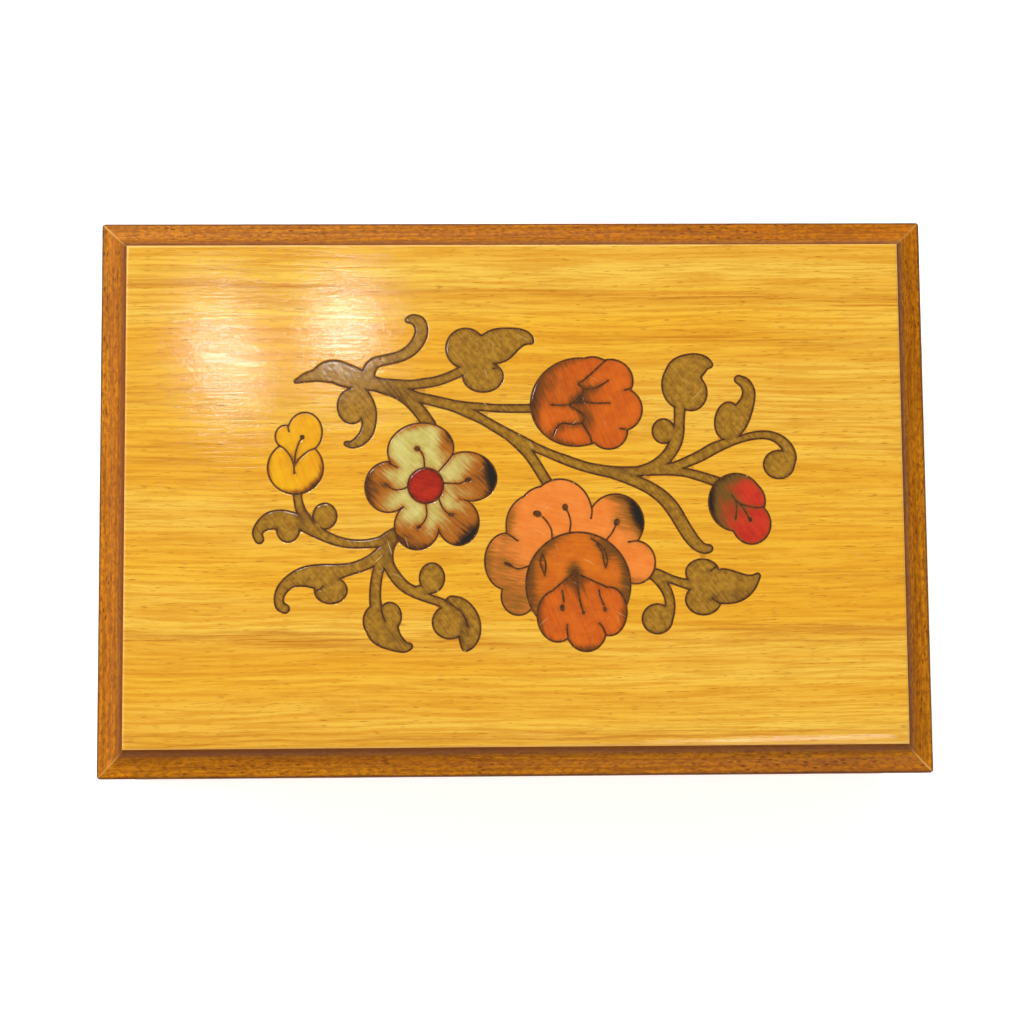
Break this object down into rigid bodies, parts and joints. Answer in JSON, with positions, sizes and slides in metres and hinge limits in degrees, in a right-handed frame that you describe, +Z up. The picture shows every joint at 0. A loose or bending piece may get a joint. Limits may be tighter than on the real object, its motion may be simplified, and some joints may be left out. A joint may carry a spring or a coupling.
{
  "type": "keepsake box",
  "caption": "Rectangular wooden keepsake box with a hinged coved lid inlaid with a marquetry flower spray, a matching plinth, veneered sides, velvet lining and brass butt hinges.",
  "frame": {"origin": "centre of the underside, on the surface the box stands on", "axes": "+X to the right along the length, +Y to the hinged back, +Z up"},
  "size_m": [0.156, 0.105, 0.0612],
  "materials": {
    "base_felt_cloth": "pressed felt",
    "lining_velvet": "short pile velvet over card",
    "ply_board": "plain plywood",
    "moulding_beech": "stained beech, glossy lacquer",
    "wall_beech": "stained beech",
    "golden_veneer": "golden satinwood-like veneer, glossy lacquer",
    "olive_veneer": "olive brown veneer, glossy lacquer",
    "yellow_veneer": "yellow dyed veneer, glossy lacquer",
    "cream_scorched_veneer": "pale veneer scorched at its edges, glossy lacquer",
    "centre_red_veneer": "red dyed veneer, glossy lacquer",
    "orange_veneer": "orange dyed veneer, glossy lacquer",
    "peach_veneer": "peach dyed veneer scorched at its edges, glossy lacquer",
    "heart_orange_veneer": "orange dyed veneer, glossy lacquer",
    "bud_red_veneer": "red dyed veneer scorched at one edge, glossy lacquer",
    "kerf_filler_paste": "dark glue and dust in the saw cuts",
    "hinge_brass": "brushed brass"
  },
  "bodies": {
    "box": {"base_felt": "base_felt_cloth", "base_panel": "ply_board", "box_hinge_screws": "hinge_brass", "hinge_left_box_leaf": "hinge_brass", "hinge_left_pin": "hinge_brass", "hinge_right_box_leaf": "hinge_brass", "hinge_right_pin": "hinge_brass", "lining_back": "lining_velvet", "lining_floor": "lining_velvet", "lining_front": "lining_velvet", "lining_left": "lining_velvet", "lining_right": "lining_velvet", "plinth_back": "moulding_beech", "plinth_front": "moulding_beech", "plinth_left": "moulding_beech", "plinth_right": "moulding_beech", "wall_back": "wall_beech", "wall_front": "wall_beech", "wall_left": "wall_beech", "wall_right": "wall_beech", "wall_veneer_back": "golden_veneer", "wall_veneer_front": "golden_veneer", "wall_veneer_left": "golden_veneer", "wall_veneer_right": "golden_veneer"},
    "lid": {"hinge_left_lid_leaf": "hinge_brass", "hinge_right_lid_leaf": "hinge_brass", "inlay_daisy_centre": "centre_red_veneer", "inlay_daisy_petals": "cream_scorched_veneer", "inlay_orange_bud": "orange_veneer", "inlay_red_bud": "bud_red_veneer", "inlay_rose_front_petals": "orange_veneer", "inlay_rose_heart": "heart_orange_veneer", "inlay_rose_outer_petals": "peach_veneer", "inlay_stems_and_leaves": "olive_veneer", "inlay_yellow_tulip": "yellow_veneer", "kerf_filler": "kerf_filler_paste", "lid_core": "ply_board", "lid_ground_veneer": "golden_veneer", "lid_hinge_screws": "hinge_brass", "lid_lining": "lining_velvet", "lid_rail_back": "moulding_beech", "lid_rail_front": "moulding_beech", "lid_rail_left": "moulding_beech", "lid_rail_right": "moulding_beech"}
  },
  "joints": [
    {"name": "lid_hinge", "type": "hinge", "parent": "box", "child": "lid", "pos_m": [0, 0.049, 0.0511], "axis": [-1, 0, 0], "range_deg": [0, 95]}
  ]
}
